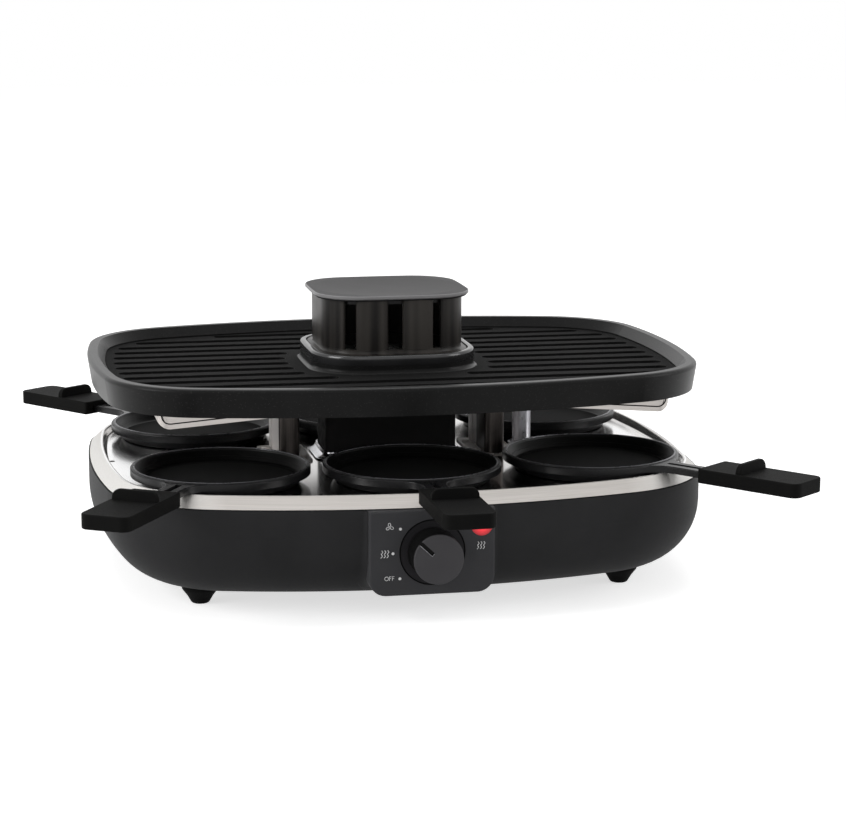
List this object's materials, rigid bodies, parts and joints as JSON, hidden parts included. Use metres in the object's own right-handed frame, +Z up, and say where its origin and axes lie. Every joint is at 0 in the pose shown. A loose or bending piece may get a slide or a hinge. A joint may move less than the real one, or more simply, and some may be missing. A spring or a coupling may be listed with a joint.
{
  "type": "raclette grill",
  "caption": "Electric raclette grill with a grooved plate on a steel-trayed base, pans below it and a slotted smoke hood that a fan in the base draws from.",
  "frame": {"origin": "centre of the footprint, on the surface that the feet stand on", "axes": "+X to the right of the control panel, -Y towards the control panel, +Z up"},
  "size_m": [0.4834, 0.5216, 0.1918],
  "materials": {
    "housing": "fine matt texture",
    "feet": "matt",
    "screws": "bright",
    "tray_steel": "brushed",
    "panel": "satin",
    "knob": "satin",
    "lens": "clear red",
    "lamp": "clear",
    "switch": "moulded",
    "black_sheet": "gloss black",
    "bright_steel": "polished",
    "sheet_steel": "plain",
    "element": "heat-darkened",
    "ceramic": "ceramic look",
    "inner_plastic": "moulded",
    "motor": "plain",
    "plate": "speckled non-stick coating",
    "hood": "gloss black",
    "filter": "plain",
    "lid": "satin",
    "pan": "non-stick coating",
    "grip": "fine texture"
  },
  "bodies": {
    "base": {"base_housing": "housing", "bottom_cover": "housing", "bottom_screws": "screws", "cable_conduit": "bright_steel", "conduit_ring": "bright_steel", "control_panel": "panel", "cord_gland": "inner_plastic", "duct_collar": "bright_steel", "element_clips": "sheet_steel", "element_terminal_block": "ceramic", "fan_housing": "inner_plastic", "fan_housing_screws": "screws", "fan_motor": "motor", "foot_front_left": "feet", "foot_front_right": "feet", "foot_rear_left": "feet", "foot_rear_right": "feet", "frame_bridges": "sheet_steel", "heating_element": "element", "indicator_lens": "lens", "motor_screws": "screws", "pilot_lamp": "lamp", "post_left": "sheet_steel", "post_right": "sheet_steel", "post_screws": "screws", "reflector_frame": "sheet_steel", "rotary_switch": "switch", "smoke_funnel": "black_sheet", "steel_tray": "tray_steel", "switch_nut": "screws", "thermal_cutout": "switch", "tower_duct": "black_sheet", "wiring_terminal_block": "switch"},
    "fan": {"fan_wheel": "inner_plastic", "fan_shaft": "motor"},
    "knob": {"control_knob": "knob", "switch_shaft": "motor"},
    "plate": {"grill_plate": "plate"},
    "hood": {"smoke_hood": "hood", "grease_filter": "filter"},
    "lid": {"hood_lid": "lid"},
    "pan_front_left": {"pan_front_left": "pan", "grip_front_left": "grip", "grip_screw_front_left": "screws"},
    "pan_front_middle": {"pan_front_middle": "pan", "grip_front_middle": "grip", "grip_screw_front_middle": "screws"},
    "pan_front_right": {"pan_front_right": "pan", "grip_front_right": "grip", "grip_screw_front_right": "screws"},
    "pan_rear_left": {"pan_rear_left": "pan", "grip_rear_left": "grip", "grip_screw_rear_left": "screws"},
    "pan_rear_middle": {"pan_rear_middle": "pan", "grip_rear_middle": "grip", "grip_screw_rear_middle": "screws"},
    "pan_rear_right": {"pan_rear_right": "pan", "grip_rear_right": "grip", "grip_screw_rear_right": "screws"}
  },
  "joints": [
    {"name": "fan_spin", "type": "hinge", "parent": "base", "child": "fan", "pos_m": [0, 0, 0.0365], "axis": [0, 0, 1], "continuous": true},
    {"name": "knob_turn", "type": "hinge", "parent": "base", "child": "knob", "pos_m": [-0.00375, -0.175, 0.0469], "axis": [0, -1, 0], "range_deg": [0, 78]},
    {"name": "plate_lift", "type": "slide", "parent": "base", "child": "plate", "axis": [0, 0, 1], "range_m": [0, 0.12]},
    {"name": "hood_lift", "type": "slide", "parent": "plate", "child": "hood", "axis": [0, 0, 1], "range_m": [0, 0.08]},
    {"name": "lid_lift", "type": "slide", "parent": "hood", "child": "lid", "axis": [0, 0, 1], "range_m": [0, 0.06]},
    {"name": "pan_front_left_pull", "type": "slide", "parent": "base", "child": "pan_front_left", "axis": [-0.496, -0.8254, 0.2696], "range_m": [0, 0.13]},
    {"name": "pan_front_middle_pull", "type": "slide", "parent": "base", "child": "pan_front_middle", "axis": [0.0101, -0.9629, 0.2696], "range_m": [0, 0.13]},
    {"name": "pan_front_right_pull", "type": "slide", "parent": "base", "child": "pan_front_right", "axis": [0.6008, -0.7526, 0.2696], "range_m": [0, 0.13]},
    {"name": "pan_rear_left_pull", "type": "slide", "parent": "base", "child": "pan_rear_left", "axis": [-0.6008, 0.7526, 0.2696], "range_m": [0, 0.13]},
    {"name": "pan_rear_middle_pull", "type": "slide", "parent": "base", "child": "pan_rear_middle", "axis": [-0.0101, 0.9629, 0.2696], "range_m": [0, 0.13]},
    {"name": "pan_rear_right_pull", "type": "slide", "parent": "base", "child": "pan_rear_right", "axis": [0.496, 0.8254, 0.2696], "range_m": [0, 0.13]}
  ]
}
